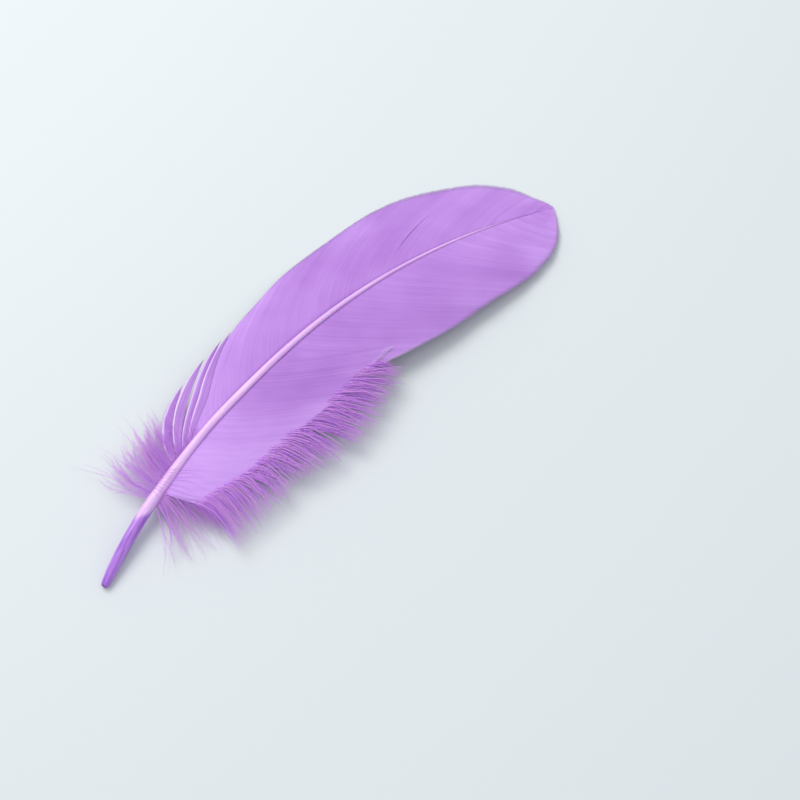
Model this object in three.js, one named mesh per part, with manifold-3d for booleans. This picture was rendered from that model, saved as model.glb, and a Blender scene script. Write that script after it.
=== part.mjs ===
// A goose quill feather, dyed lilac, lying as it rests on a table with its outer side up.
// It grew as one piece: a hollow quill that runs on as the grooved shaft, a narrow vane on its left,
// a wide vane on its right, and loose down at the foot of both. All of it is fused into one solid.
//
// Units are millimetres. X runs from the quill's end to the vane's tip, Y points to the narrow vane,
// and Z points up. The origin is under the middle of the feather, on the surface that it lies on.

import * as THREE from "three";
import { mergeVertices } from "three/addons/utils/BufferGeometryUtils.js";
import Module from "manifold-3d";

// ---- Driving dimensions ----

const SHAFT_LENGTH = 175; // along the curve, from the quill's end to the vane's tip
const SIDE_TURN_DEG = 48; // how far the shaft turns sideways from end to end
const ARCH_HEIGHT = 6.5; // rise of the shaft's middle over its two ends
const LEAN_DEG = 9; // the feather leans over on its narrow vane
const CAMBER = 0.008; // each vane falls by this times its distance from the shaft squared, per mm
const VANE_THICKNESS = 0.36;
const LOCK_THICKNESS = 0.32;
const FLOOR_SOFTNESS = 0.5; // how gently a vane flattens where it meets the surface

// Each profile is a list of [place along the shaft from 0 to 1, size].
const SHAFT_DIAMETER = [
  [0, 2.1], [0.025, 2.8], [0.07, 3.2], [0.14, 3.25], [0.18, 2.9], [0.24, 2.4],
  [0.39, 2.0], [0.56, 1.5], [0.7, 1], [0.82, 0.74], [0.92, 0.66], [1, 0.62],
];
// How far the shaft lies to the right of an even bend: it is straighter below its middle.
const SHAFT_OFFSET = [
  [0, 0], [0.1, 0.2], [0.17, 0.65], [0.29, 1.1], [0.38, 1.6], [0.47, 1.45], [0.56, 1.15],
  [0.7, 0.7], [0.84, 0.3], [1, 0],
];
// How far the vanes reach to each side of that even bend.
const NARROW_VANE_WIDTH = [
  [0.25, 1.3], [0.32, 6.5], [0.375, 11.6], [0.436, 15.2], [0.5, 17.6], [0.575, 20.3], [0.65, 21.3],
  [0.734, 22.4], [0.78, 21.9], [0.825, 20.3], [0.883, 17.6], [0.948, 14], [0.974, 9], [1, 4],
];
const WIDE_VANE_WIDTH = [
  [0.174, 12.3], [0.26, 18.4], [0.35, 20.8], [0.463, 22.4], [0.6, 22.6], [0.65, 24.4], [0.72, 24.6],
  [0.837, 22], [0.916, 19.7], [0.951, 18.9], [0.985, 17.5], [1, 12],
];
// How far the fluffy ends of the wide vane's lower barbs reach.
const FRINGE_WIDTH = [
  [0.1, 20], [0.15, 26], [0.21, 28], [0.3, 29.5], [0.42, 30], [0.48, 28], [0.54, 24.5], [0.6, 22.8],
];
// A barb's lean: how far further along the shaft its tip lies than its root.
const NARROW_BARB_LEAN = [
  [0.25, 0.175], [0.45, 0.19], [0.6, 0.21], [0.665, 0.21], [0.75, 0.17], [0.85, 0.11],
  [0.95, 0.04], [1, 0.008],
];
const WIDE_BARB_LEAN = [
  [0.19, 0.06], [0.3, 0.12], [0.435, 0.17], [0.6, 0.19], [0.7, 0.185], [0.8, 0.14], [0.9, 0.075],
  [1, 0.008],
];

const NARROW_VANE_START = 0.25; // where the first firm barbs leave the shaft: below it there is only down
const WIDE_VANE_START = 0.19;
const VANE_END = 1; // where the last barbs end
const SHAFT_END = 0.995;
const ROUND_FROM = 0.86; // where the outline starts to round over into the tip

// Splits between barbs: where each leaves the shaft, how far it opens on the way and how far at the margin.
const NARROW_SPLITS = [[0.665, 1, 0.2]];
const WIDE_SPLITS = [[0.435, 0.2, 5], [0.8, 0.1, 0.9]];
const SPLIT_AT_SHAFT = 0.12; // how far every split is open where it leaves the shaft
// Slender strays loose from the foot of the narrow vane: where each leaves the shaft, and its length.
const STRAYS = [[0.243, 27], [0.23, 22]];
const STRAY_TURN_DEG = 52; // from the shaft's direction

const QUILL_HOLE_DIAMETER = 1;
const QUILL_HOLE_DEPTH = 3;
const GROOVE_START = 0.16; // the groove under the shaft starts where the quill ends
const GROOVE_DEPTH = 0.35; // of the shaft's radius

const SLIVER = 0.008; // edges shorter than this, left where pieces fuse, are closed up

// ---- Curves that everything follows ----

const halfTurn = THREE.MathUtils.degToRad(SIDE_TURN_DEG) / 2;
const bendRadius = SHAFT_LENGTH / (2 * halfTurn);
const leanSlope = Math.tan(THREE.MathUtils.degToRad(LEAN_DEG));

// The value of a profile at u, by smooth cubic steps between its stations.
function along(profile, u) {
  const last = profile.length - 1;
  const i = Math.max(0, Math.min(last - 1, profile.findLastIndex(([at]) => at <= u)));
  const [[u0, a], [u1, b]] = [profile[i], profile[i + 1]];
  const slope = (j) => {
    const [before, after] = [profile[Math.max(0, j - 1)], profile[Math.min(last, j + 1)]];
    return (after[1] - before[1]) / (after[0] - before[0]);
  };
  const t = THREE.MathUtils.clamp((u - u0) / (u1 - u0), 0, 1);
  const [t2, t3, step] = [t * t, t * t * t, u1 - u0];
  return (2 * t3 - 3 * t2 + 1) * a + (t3 - 2 * t2 + t) * step * slope(i)
    + (3 * t2 - 2 * t3) * b + (t3 - t2) * step * slope(i + 1);
}

// An even sideways bend with a low arch, which the vanes' surfaces follow.
function bendPoint(u) {
  const heading = halfTurn * (1 - 2 * u);
  const endHeight = THREE.MathUtils.lerp(SHAFT_DIAMETER[0][1] / 2, VANE_THICKNESS / 2, u);
  return new THREE.Vector3(
    bendRadius * (Math.sin(halfTurn) - Math.sin(heading)),
    bendRadius * (Math.cos(heading) - Math.cos(halfTurn)),
    endHeight + 4 * ARCH_HEIGHT * u * (1 - u),
  );
}

const forward = (u) => {
  const heading = halfTurn * (1 - 2 * u);
  return new THREE.Vector3(Math.cos(heading), Math.sin(heading), 0);
};
const leftward = (u) => {
  const heading = halfTurn * (1 - 2 * u);
  return new THREE.Vector3(-Math.sin(heading), Math.cos(heading), 0);
};

// The shaft's centreline, which lies beside the even bend in the vanes' surface.
function shaftPoint(u) {
  const offset = along(SHAFT_OFFSET, u);
  const p = bendPoint(u).addScaledVector(leftward(u), -offset);
  p.z += offset * leanSlope;
  return p;
}

// A height that never falls below the vane's own half thickness, and eases into it.
const restOnFloor = (z) => {
  const low = VANE_THICKNESS / 2;
  return low + 0.5 * (z - low + Math.hypot(z - low, FLOOR_SOFTNESS));
};

// A point of a vane's middle surface, w mm out from the even bend. side is +1 on the left and -1 on the right.
function vanePoint(u, w, side) {
  const p = bendPoint(u).addScaledVector(leftward(u), side * w);
  p.z = restOnFloor(p.z - side * w * leanSlope - CAMBER * w * w);
  return p;
}

const sides = {
  narrow: {
    sign: 1,
    start: NARROW_VANE_START,
    width: NARROW_VANE_WIDTH,
    lean: NARROW_BARB_LEAN,
    splits: NARROW_SPLITS,
  },
  wide: {
    sign: -1,
    start: WIDE_VANE_START,
    width: WIDE_VANE_WIDTH,
    lean: WIDE_BARB_LEAN,
    splits: WIDE_SPLITS,
  },
};

// How far the firm vane reaches from the shaft at u.
function marginWidth(side, u) {
  const over = Math.max(0, (u - ROUND_FROM) / (VANE_END - ROUND_FROM));
  return along(side.width, u) * Math.sqrt(Math.max(0, 1 - over * over));
}

// A point s of the way along the barb that leaves the shaft at root, moved by shift mm along the shaft.
function barbPoint(side, root, s, shift) {
  const tip = Math.min(VANE_END, root + along(side.lean, root));
  const u = root + (tip - root) * s ** 1.3 + shift / SHAFT_LENGTH;
  const inShaft = 0.15 * along(SHAFT_DIAMETER, root) - side.sign * along(SHAFT_OFFSET, root);
  const w = THREE.MathUtils.lerp(inShaft, Math.max(inShaft, marginWidth(side, tip)), 1 - (1 - s) ** 1.15);
  return vanePoint(Math.min(VANE_END, u), w, side.sign);
}

// ---- Solids ----

const wasm = await Module();
wasm.setup();

// Moves each vertex of a closed three.js shape by place, and makes a solid of it.
function bentSolid(geometry, place) {
  const points = geometry.getAttribute("position");
  const p = new THREE.Vector3();
  for (let i = 0; i < points.count; i += 1) {
    p.fromBufferAttribute(points, i);
    points.setXYZ(i, ...place(p));
  }
  geometry.deleteAttribute("normal");
  geometry.deleteAttribute("uv");
  const merged = mergeVertices(geometry, 1e-4);
  const corners = merged.index.array;
  const kept = [];
  for (let i = 0; i < corners.length; i += 3) {
    const [a, b, c] = corners.subarray(i, i + 3);
    if (a !== b && b !== c && c !== a) kept.push(a, b, c);
  }
  return new wasm.Manifold(new wasm.Mesh({
    numProp: 3,
    vertProperties: merged.getAttribute("position").array,
    triVerts: new Uint32Array(kept),
  }));
}

// The quill and the shaft: a turned profile with the hole in the quill's end, bent along the centreline.
function shaftSolid() {
  const SEGMENTS = 12;
  const STATIONS = 46;
  const hole = QUILL_HOLE_DIAMETER / 2;
  const profile = [
    new THREE.Vector2(0, QUILL_HOLE_DEPTH),
    new THREE.Vector2(hole * 0.7, QUILL_HOLE_DEPTH * 0.85),
    new THREE.Vector2(hole, 0.3),
    new THREE.Vector2(hole + 0.15, 0),
    new THREE.Vector2(SHAFT_DIAMETER[0][1] / 2 - 0.2, 0),
  ];
  for (let i = 0; i < STATIONS; i += 1) {
    const u = THREE.MathUtils.lerp(0.002, SHAFT_END - 0.003, (i / (STATIONS - 1)) ** 1.1);
    profile.push(new THREE.Vector2(along(SHAFT_DIAMETER, u) / 2, u * SHAFT_LENGTH));
  }
  profile.push(new THREE.Vector2(0, SHAFT_END * SHAFT_LENGTH));
  return bentSolid(new THREE.LatheGeometry(profile, SEGMENTS), (p) => {
    const u = p.y / SHAFT_LENGTH;
    const underneath = Math.hypot(p.x, p.z) > 0 ? Math.max(0, -p.z / Math.hypot(p.x, p.z)) : 0;
    const grooved = u > GROOVE_START && u < 0.95 ? 1 - GROOVE_DEPTH * underneath ** 12 : 1;
    return shaftPoint(u).addScaledVector(leftward(u), -p.x).add(new THREE.Vector3(0, 0, p.z * grooved));
  });
}

// How far one side of a split has moved at s along its barbs.
const opening = ([, onTheWay, atMargin], s) => (atMargin * s ** 4 + onTheWay * 6.75 * s * s * (1 - s)) / 2;

// A lobe of a vane: all the barbs that leave the shaft from one split to the next, as one thin plate.
function lobeSolid(side, lower, upper) {
  const ROWS_PER_LENGTH = 76;
  const COLUMNS = 7;
  const [from, to] = [lower[0], upper[0]];
  const rows = Math.max(2, Math.round((to - from) * ROWS_PER_LENGTH));
  return bentSolid(new THREE.BoxGeometry(1, 1, 1, rows, COLUMNS, 1), (p) => {
    const [t, s] = [p.x + 0.5, p.y + 0.5];
    const shift = opening(lower, s) * (1 - t) ** 4 - opening(upper, s) * t ** 4;
    const parted = SPLIT_AT_SHAFT / SHAFT_LENGTH / 2;
    const root = THREE.MathUtils.lerp(from + parted, to - parted, t);
    const q = barbPoint(side, root, s, shift);
    q.z += p.z * VANE_THICKNESS * side.sign;
    return q;
  });
}

function vaneSolids(side) {
  const splits = [[side.start, 0, 0], ...side.splits, [0.995, 0, 0]];
  return splits.slice(1).map((upper, i) => lobeSolid(side, splits[i], upper));
}

// A lock: a flattened spike that runs out from a point, turned from the shaft's direction there. bend is how
// far its end curves to the left, as a share of its length.
function lockSolid(u, from, turnDeg, bend, length, width, endHeight) {
  const heading = Math.atan2(forward(u).y, forward(u).x) + THREE.MathUtils.degToRad(turnDeg);
  const ahead = new THREE.Vector3(Math.cos(heading), Math.sin(heading), 0);
  const across = new THREE.Vector3(-ahead.y, ahead.x, 0);
  return bentSolid(new THREE.ConeGeometry(1, 1, 4, 4), (p) => {
    const s = p.y + 0.5;
    const q = from.clone().addScaledVector(ahead, s * length);
    q.addScaledVector(across, bend * length * s * s - p.x * (width / 2));
    q.z = THREE.MathUtils.lerp(from.z, endHeight, s ** 1.8) + p.z * LOCK_THICKNESS / 2;
    return q;
  });
}

// The fluffy ends of the wide vane's lower barbs: along the edge of its first barb, then along its margin,
// from pointing backward at the foot to pointing forward at the top.
function fringeLocks() {
  const EDGE_COUNT = 5;
  const MARGIN_COUNT = 24;
  const EMBEDDED = 1.6;
  const side = sides.wide;
  const ends = (i) => 0.9 + 1.2 * Math.abs(Math.sin(i * 1.7));
  const alongEdge = Array.from({ length: EDGE_COUNT }, (_, i) => {
    const s = THREE.MathUtils.lerp(0.3, 0.95, i / (EDGE_COUNT - 1));
    const root = barbPoint(side, side.start + EMBEDDED / SHAFT_LENGTH, s, 0);
    return lockSolid(side.start, root, -112, -0.12, 14 + Math.sin(i * 2.3), 2, ends(i));
  });
  const [first, last] = [0.268, 0.57];
  const alongMargin = Array.from({ length: MARGIN_COUNT }, (_, i) => {
    const t = i / (MARGIN_COUNT - 1);
    const u = THREE.MathUtils.lerp(first, last, t);
    const rootWidth = marginWidth(side, u) - EMBEDDED;
    const turn = THREE.MathUtils.lerp(98, 24, t ** 0.9);
    const reach = along(FRINGE_WIDTH, u) - rootWidth;
    const length = reach / Math.sin(THREE.MathUtils.degToRad(Math.max(38, turn))) + 0.8 * Math.sin(i * 2.3);
    return lockSolid(u, vanePoint(u, rootWidth, -1), -turn, -0.12, length, 2, ends(i));
  });
  return [...alongEdge, ...alongMargin];
}

// The loose down at the foot of one vane, which leaves the shaft itself.
function footLocks(side, count, lengths, turns) {
  const [first, last] = [0.148, side.start - (side.sign > 0 ? 0.03 : 0.006)];
  return Array.from({ length: count }, (_, i) => {
    const t = i / (count - 1);
    const u = THREE.MathUtils.lerp(first, last, t);
    const raised = i % 3 === 0;
    const root = shaftPoint(u).add(new THREE.Vector3(0, 0, raised ? 0.62 : -0.78 + 0.11 * (i % 4)));
    const turn = side.sign * THREE.MathUtils.lerp(turns[0], turns[1], t);
    const length = THREE.MathUtils.lerp(lengths[0], lengths[1], t) + 2.5 * Math.sin(i * 2.9);
    const endHeight = raised ? root.z + 3 : 0.9 + 0.6 * (i % 4);
    return lockSolid(u, root, turn, 0.12 * side.sign, length, 1.4, endHeight);
  });
}

function strayLocks() {
  return STRAYS.map(([u, length], i) => {
    const root = shaftPoint(u).add(new THREE.Vector3(0, 0, 0.5));
    return lockSolid(u, root, STRAY_TURN_DEG, -0.33, length, 3, root.z - 1.5 - i);
  });
}

// ---- The feather ----

function featherGeometry() {
  const grown = [
    shaftSolid(),
    ...vaneSolids(sides.narrow),
    ...vaneSolids(sides.wide),
    ...fringeLocks(),
    ...footLocks(sides.wide, 6, [27, 25], [132, 108]),
    ...footLocks(sides.narrow, 11, [17, 19], [105, 50]),
    ...strayLocks(),
  ];
  const mesh = wasm.Manifold.union(grown).asOriginal().simplify(SLIVER).getMesh();
  const geometry = new THREE.BufferGeometry();
  geometry.setAttribute("position", new THREE.BufferAttribute(mesh.vertProperties, 3));
  geometry.setIndex(new THREE.BufferAttribute(mesh.triVerts, 1));
  geometry.computeBoundingBox();
  const { min, max } = geometry.boundingBox;
  geometry.translate(-(min.x + max.x) / 2, -(min.y + max.y) / 2, -min.z);
  geometry.computeVertexNormals();
  return geometry;
}

const lilacKeratin = new THREE.MeshStandardMaterial({ color: 0xc490e6, roughness: 0.6, metalness: 0 });

const feather = new THREE.Mesh(featherGeometry(), lilacKeratin);
feather.name = "feather";

const group = new THREE.Group();
group.add(feather);

export default group;
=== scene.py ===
"""A lilac-dyed goose quill feather, lying with its outer side up.

It grew as one thing: a hollow quill that runs on as the grooved shaft, and some hundreds of barbs that leave
the shaft on each side. Hooked together they are the two vanes. Loose, they are the down at the foot and along
the lower margin of the wide vane. Lengths are in metres, with the tables in millimetres.
"""

import functools
import math

import bpy
import numpy as np
from mathutils import Matrix, Vector


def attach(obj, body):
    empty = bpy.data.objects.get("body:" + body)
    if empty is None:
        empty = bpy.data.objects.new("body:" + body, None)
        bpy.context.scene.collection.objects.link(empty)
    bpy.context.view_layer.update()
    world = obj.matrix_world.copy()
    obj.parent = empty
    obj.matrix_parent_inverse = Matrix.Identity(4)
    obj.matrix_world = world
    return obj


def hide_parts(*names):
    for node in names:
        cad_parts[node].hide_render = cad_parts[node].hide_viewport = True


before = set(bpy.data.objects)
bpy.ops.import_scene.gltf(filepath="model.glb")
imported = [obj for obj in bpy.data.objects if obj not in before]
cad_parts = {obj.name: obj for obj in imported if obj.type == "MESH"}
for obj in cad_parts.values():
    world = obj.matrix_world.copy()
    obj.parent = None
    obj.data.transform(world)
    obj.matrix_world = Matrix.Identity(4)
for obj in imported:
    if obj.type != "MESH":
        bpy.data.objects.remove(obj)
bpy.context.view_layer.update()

bl_info = {
    "name": "Goose quill feather",
    "version": (1, 0, 0),
    "blender": (4, 5, 0),
    "location": "View3D > Sidebar > Feather",
    "description": "Builds a dyed goose quill feather: quill, shaft, two vanes and down",
    "category": "Object",
}

MM = 0.001
UPWARD = np.array([0, 0, 1.0])

# Each profile is a list of [place along the shaft from 0 to 1, size in mm], as in the solid.
SHAFT_DIAMETER = [
    [0, 2.1], [0.025, 2.8], [0.07, 3.2], [0.14, 3.25], [0.18, 2.9], [0.24, 2.4], [0.39, 2.0], [0.56, 1.5],
    [0.7, 1], [0.82, 0.66], [0.92, 0.36], [1, 0.16],
]
# How far the shaft lies to the right of an even bend: it is straighter below its middle.
SHAFT_OFFSET = [
    [0, 0], [0.1, 0.2], [0.17, 0.65], [0.29, 1.1], [0.38, 1.6], [0.47, 1.45], [0.56, 1.15], [0.7, 0.7],
    [0.84, 0.3], [1, 0],
]
# How far the vanes reach to each side of that even bend.
NARROW_VANE_WIDTH = [
    [0.25, 1.3], [0.32, 6.5], [0.375, 11.6], [0.436, 15.2], [0.5, 17.6], [0.575, 20.3], [0.65, 21.3],
    [0.734, 22.4], [0.78, 21.9], [0.825, 20.3], [0.883, 17.3], [0.907, 15.6], [0.948, 10.8], [0.962, 8.1],
    [0.974, 5.3], [0.985, 3.3], [0.991, 2.0], [0.9945, 1.0], [0.9965, 0.1],
]
WIDE_VANE_WIDTH = [
    [0.174, 12.3], [0.26, 18.4], [0.35, 20.8], [0.463, 22.4], [0.54, 21.6], [0.573, 22.6], [0.61, 23.8],
    [0.65, 24.4], [0.72, 24.6], [0.837, 22.2], [0.88, 20.9], [0.908, 19.6], [0.927, 18.2], [0.947, 16.1],
    [0.969, 12.9], [0.983, 9.0], [0.991, 5.0], [0.9945, 2.2], [0.9965, 0.1],
]
# The wide vane's lower lobe ends in a point that lies over the upper lobe.
LOWER_LOBE_WIDTH = [
    [0.174, 12.3], [0.26, 18.4], [0.35, 20.8], [0.444, 22.3], [0.527, 21.9], [0.569, 21.3], [0.61, 20.4],
]
LOBE_END = 0.435  # where the lower lobe's last barb leaves the shaft
# How far the loose ends reach along the wide vane's lower margin.
FRINGE_WIDTH = [
    [0.1, 20], [0.15, 26], [0.21, 28.6], [0.25, 30.4], [0.3, 32.4], [0.35, 34.8], [0.4, 35.8], [0.46, 33.2],
    [0.51, 29.6], [0.54, 26], [0.56, 23.5], [0.6, 22],
]
# A barb's lean: how far further along the shaft its tip lies than its root, as a share of the shaft.
NARROW_BARB_LEAN = [
    [0.25, 0.175], [0.45, 0.19], [0.6, 0.21], [0.665, 0.21], [0.75, 0.17], [0.85, 0.11], [0.95, 0.038],
    [0.99, 0.008],
]
WIDE_BARB_LEAN = [
    [0.16, 0.012], [0.19, 0.045], [0.3, 0.12], [0.435, 0.17], [0.6, 0.19], [0.7, 0.185], [0.8, 0.14],
    [0.9, 0.075], [0.95, 0.04], [0.99, 0.008],
]
VANE_END = 0.9965  # where the last barbs end
SHAFT_END = 0.99
# Splits: where each leaves the shaft, how far it opens on the way and how far at the margin, in mm.
NARROW_SPLITS = [[0.679, 0.8, 0.0]]
WIDE_SPLITS = [[LOBE_END, 0.0, 0.0], [0.8, 0.05, 0.5]]
LAST_SPLIT_END = 0.995  # past it no barb moves for a split

# sign is 1 to the left of the shaft. start is where a vane's first barb leaves the shaft.
SIDES = {
    "narrow": dict(
        sign=1, start=0.25, width=NARROW_VANE_WIDTH, lean=NARROW_BARB_LEAN, splits=NARROW_SPLITS, seed=3
    ),
    "wide": dict(
        sign=-1, start=0.163, width=WIDE_VANE_WIDTH, lean=WIDE_BARB_LEAN, splits=WIDE_SPLITS, seed=4
    ),
}


# ---- Sizes and colours that a user would change ----


def length(name, description, default):
    return bpy.props.FloatProperty(
        name=name, description=description, default=default, unit="LENGTH", precision=5
    )


def angle(name, description, degrees):
    return bpy.props.FloatProperty(
        name=name, description=description, default=math.radians(degrees), subtype="ANGLE"
    )


def share(name, description, default):
    return bpy.props.FloatProperty(name=name, description=description, default=default, subtype="FACTOR")


def linear(hex_colour):
    """An sRGB hex colour as linear red, green, blue and alpha."""
    parts = [int(hex_colour[i : i + 2], 16) / 255 for i in (1, 3, 5)]
    return tuple(c / 12.92 if c <= 0.04045 else ((c + 0.055) / 1.055) ** 2.4 for c in parts) + (1.0,)


def colour(name, description, hex_colour):
    return bpy.props.FloatVectorProperty(
        name=name, description=description, default=linear(hex_colour), subtype="COLOR", size=4, min=0, max=1
    )


class FeatherForm(bpy.types.PropertyGroup):
    """How the whole feather bends and lies. These are the solid's own values."""

    shaft_length: length("Shaft length", "Along the curve, from the quill's end to the tip", 0.175)
    side_turn: angle("Side turn", "How far the shaft turns sideways from end to end", 48)
    arch_height: length("Arch height", "Rise of the shaft's middle over its two ends", 0.0065)
    lean: angle("Lean", "How far the feather leans over on its narrow vane", 9)
    camber: bpy.props.FloatProperty(
        name="Camber", description="A vane falls by this times its width squared, per metre", default=8.0
    )
    least_height: length("Least height", "The lowest that a vane's middle lies over the surface", 0.00018)
    floor_softness: length("Floor softness", "How gently a vane flattens onto the surface", 0.0005)


class BarbSizes(bpy.types.PropertyGroup):
    """The hooked barbs of the vanes."""

    spacing: length("Barb spacing", "Between two barbs, along the shaft", 0.00045)
    overlap: share("Overlap", "How far each barb's wings reach over its neighbour's", 0.3)
    ridge: length("Ridge", "Height of a barb's rib over its wings", 0.000015)
    lap: length("Lap", "How far one edge of a barb's wings rises over its middle", 0.000018)
    keel: length("Keel", "Depth of a barb's rib on the under side", 0.00008)


class DownSizes(bpy.types.PropertyGroup):
    """The loose barbs and the fine barbules on them."""

    rib: length("Rib", "Thickness of a loose barb where it starts", 0.00011)
    barbule: length("Barbule", "Thickness of a barbule where it starts", 0.000034)
    barbule_spacing: length("Barbule spacing", "Between two barbules on one side", 0.00024)


class QuillSizes(bpy.types.PropertyGroup):
    """The hollow quill and the grooved shaft."""

    wall: length("Wall", "Thickness of the quill's wall", 0.0003)
    quill_end: share("Quill end", "Where the hollow quill has turned into the shaft", 0.17)
    pith_start: share("Pith start", "Where the pale pith inside the quill comes to a point", 0.128)
    groove: share("Groove", "Depth of the groove under the shaft, of its radius", 0.3)


class FeatherColours(bpy.types.PropertyGroup):
    """The dye on each part, with painted light in some: the pale vane on fold crests, the rim as a painted
    highlight on edges, the deep down as painted shade at strand roots.
    """

    vane: colour("Vane", "The vanes", "#9f63be")
    # Also shows the painted light on the crests of the vanes' folds.
    vane_pale: colour("Pale vane", "The vanes where they lie thinner", "#cc9ae8")
    vane_deep: colour("Deep vane", "The vanes where the dye is stronger", "#8f58b0")
    # Painted highlight along the edges of lobes, parted locks and the narrow vane's first barb.
    vane_edge_highlight: colour("Rim", "The thin edges of lobes and parted locks", "#f2d2fc")
    down: colour("Down", "The loose barbs", "#f4b6ff")
    # Also the painted shade at the roots of the loose strands.
    down_deep: colour("Deep down", "The loose barbs where the dye is stronger", "#d280ff")
    shaft: colour("Shaft", "The shaft's horn", "#edc3f1")
    shaft_deep: colour("Deep shaft", "The dye that stays in the shaft's fine furrows", "#d5a2e8")
    quill: colour("Quill", "The quill's clear horn", "#d698f8")
    quill_deep: colour("Deep quill", "The quill where the dye is stronger", "#ac62e0")
    floor: colour("Floor", "The surface that it lies on", "#dadede")


GROUPS = {
    "feather_form": FeatherForm,
    "feather_barbs": BarbSizes,
    "feather_down": DownSizes,
    "feather_quill": QuillSizes,
    "feather_colours": FeatherColours,
}


# ---- Small sums ----


def ramp(x, start, end):
    """0 up to start and 1 from end on, with an even rise between them. end may be the lower of the two."""
    return np.clip((x - start) / (end - start), 0, 1)


def bell(x, middle, width):
    """1 at the middle, falling off softly to both sides."""
    return np.exp(-(((x - middle) / width) ** 2))


def between(ends, t):
    """The value t of the way from the first end to the second."""
    return ends[0] + (ends[1] - ends[0]) * t


def along(profile, u):
    """The value of a profile at u, by smooth cubic steps between its stations."""
    at, size = np.array(profile, float).T
    u = np.asarray(u, float)
    i = np.clip(np.searchsorted(at, u, side="right") - 1, 0, len(at) - 2)
    order = np.arange(len(at))
    before, after = np.maximum(order - 1, 0), np.minimum(order + 1, len(at) - 1)
    slope = (size[after] - size[before]) / (at[after] - at[before])
    step = at[i + 1] - at[i]
    t = np.clip((u - at[i]) / step, 0, 1)
    value = (2 * t**3 - 3 * t**2 + 1) * size[i] + (t**3 - 2 * t**2 + t) * step * slope[i]
    return value + (3 * t**2 - 2 * t**3) * size[i + 1] + (t**3 - t**2) * step * slope[i + 1]


def unit(v):
    return v / np.maximum(np.linalg.norm(v, axis=-1, keepdims=True), 1e-12)


def flat(angle_there):
    """A level direction at an angle from the X axis."""
    return np.stack([np.cos(angle_there), np.sin(angle_there), np.zeros_like(angle_there)], -1)


def right_of(ahead):
    """The level direction to the right of a path."""
    return unit(np.cross(ahead, UPWARD))


def beside(middle, sideways, up, across, over):
    """Points that lie so far across to the side of a line and so far over it."""
    return middle + sideways * across[..., None] + up * over[..., None]


# ---- Curves that everything follows ----


def form():
    return bpy.context.scene.feather_form


def heading_at(u):
    return form().side_turn / 2 * (1 - 2 * np.asarray(u, float))


def forward(u):
    return flat(heading_at(u))


def leftward(u):
    return flat(heading_at(u) + math.pi / 2)


def bend_line(u):
    """An even bend with a low arch, before the feather is moved to where it lies in the frame."""
    u = np.asarray(u, float)
    half = form().side_turn / 2
    radius = form().shaft_length / form().side_turn
    heading = heading_at(u)
    ends = MM * SHAFT_DIAMETER[0][1] / 2 * (1 - u) + form().least_height * u
    return np.stack(
        [
            radius * (math.sin(half) - np.sin(heading)),
            radius * (np.cos(heading) - math.cos(half)),
            ends + 4 * form().arch_height * u * (1 - u),
        ],
        -1,
    )


@functools.cache
def foot_of_frame():
    """How far the frame's feather lies from bend_line's start, found from the round edge of the quill's cut
    end."""
    corners = np.array([v.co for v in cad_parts["feather"].data.vertices])
    ahead = corners @ forward(0.0)
    rim = corners[ahead < ahead.min() + 0.02 * MM]
    middle = (rim.min(0) + rim.max(0)) / 2
    return np.array([middle[0], middle[1], 0]) - bend_line(0.0) * [1, 1, 0]


def shaft_point(u):
    """The shaft's centreline, which lies beside the even bend in the vanes' surface."""
    offset = MM * along(SHAFT_OFFSET, u)
    p = bend_line(u) + foot_of_frame() - leftward(u) * offset[..., None]
    p[..., 2] += offset * math.tan(form().lean)
    return p


def shaft_diameter(u):
    return MM * along(SHAFT_DIAMETER, u)


def vane_point(u, w, sign, rise=0.0):
    """A point of a vane's middle surface, w out from the even bend and raised by rise."""
    p = bend_line(u) + foot_of_frame() + leftward(u) * (sign * w)[..., None]
    free = p[..., 2] - sign * w * math.tan(form().lean) - form().camber * w * w + rise
    over = free - form().least_height
    p[..., 2] = form().least_height + 0.5 * (over + np.hypot(over, form().floor_softness))
    return p


def margin_width(side, u):
    """How far the firm vane reaches from the even bend at u."""
    return MM * along(side["width"], u)


def barb_point(side, root, s, shift=0.0, rise=0.0, swept=0.0):
    """A point s of the way along the barb that leaves the shaft at root. shift moves it along the shaft, and
    swept moves its tip along the margin."""
    tip = np.minimum(VANE_END, root + along(side["lean"], root) + swept)
    u = np.minimum(VANE_END, root + (tip - root) * s**1.3 + shift / form().shaft_length)
    inside = 0.15 * shaft_diameter(root) - side["sign"] * MM * along(SHAFT_OFFSET, root)
    margin = margin_width(side, tip)
    if side["sign"] < 0:
        margin = np.where(root < LOBE_END, MM * along(LOWER_LOBE_WIDTH, tip), margin)
    w = between((inside, np.maximum(inside, margin)), 1 - (1 - s) ** 1.15)
    return vane_point(u, w, side["sign"], rise)


def opening(split, s):
    """How far one side of a split has moved at s along its barbs."""
    return MM * (split[2] * s**4 + split[1] * (4 * s * (1 - s)) ** 3) / 2


def split_shift(side, root, s):
    """How far the splits push a barb along the shaft."""
    edges = [[side["start"], 0, 0], *side["splits"], [LAST_SPLIT_END, 0, 0]]
    shift = np.zeros(np.broadcast(root, s).shape)
    for lower, upper in zip(edges, edges[1:]):
        t = ramp(root, lower[0], upper[0])
        here = (root >= lower[0]) & (root < upper[0])
        shift = np.where(here, opening(lower, s) * (1 - t) ** 4 - opening(upper, s) * t**4, shift)
    return shift


# ---- Making pieces ----


def deselect():
    if bpy.context.object and bpy.context.object.mode != "OBJECT":
        bpy.ops.object.mode_set(mode="OBJECT")
    bpy.ops.object.select_all(action="DESELECT")


def in_edit_mode(thing, corners_edges_or_faces):
    """Goes into edit mode with nothing selected."""
    deselect()
    bpy.context.view_layer.objects.active = thing
    thing.select_set(True)
    bpy.ops.object.mode_set(mode="EDIT")
    bpy.ops.mesh.select_all(action="DESELECT")
    bpy.ops.mesh.select_mode(type=corners_edges_or_faces)


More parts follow.
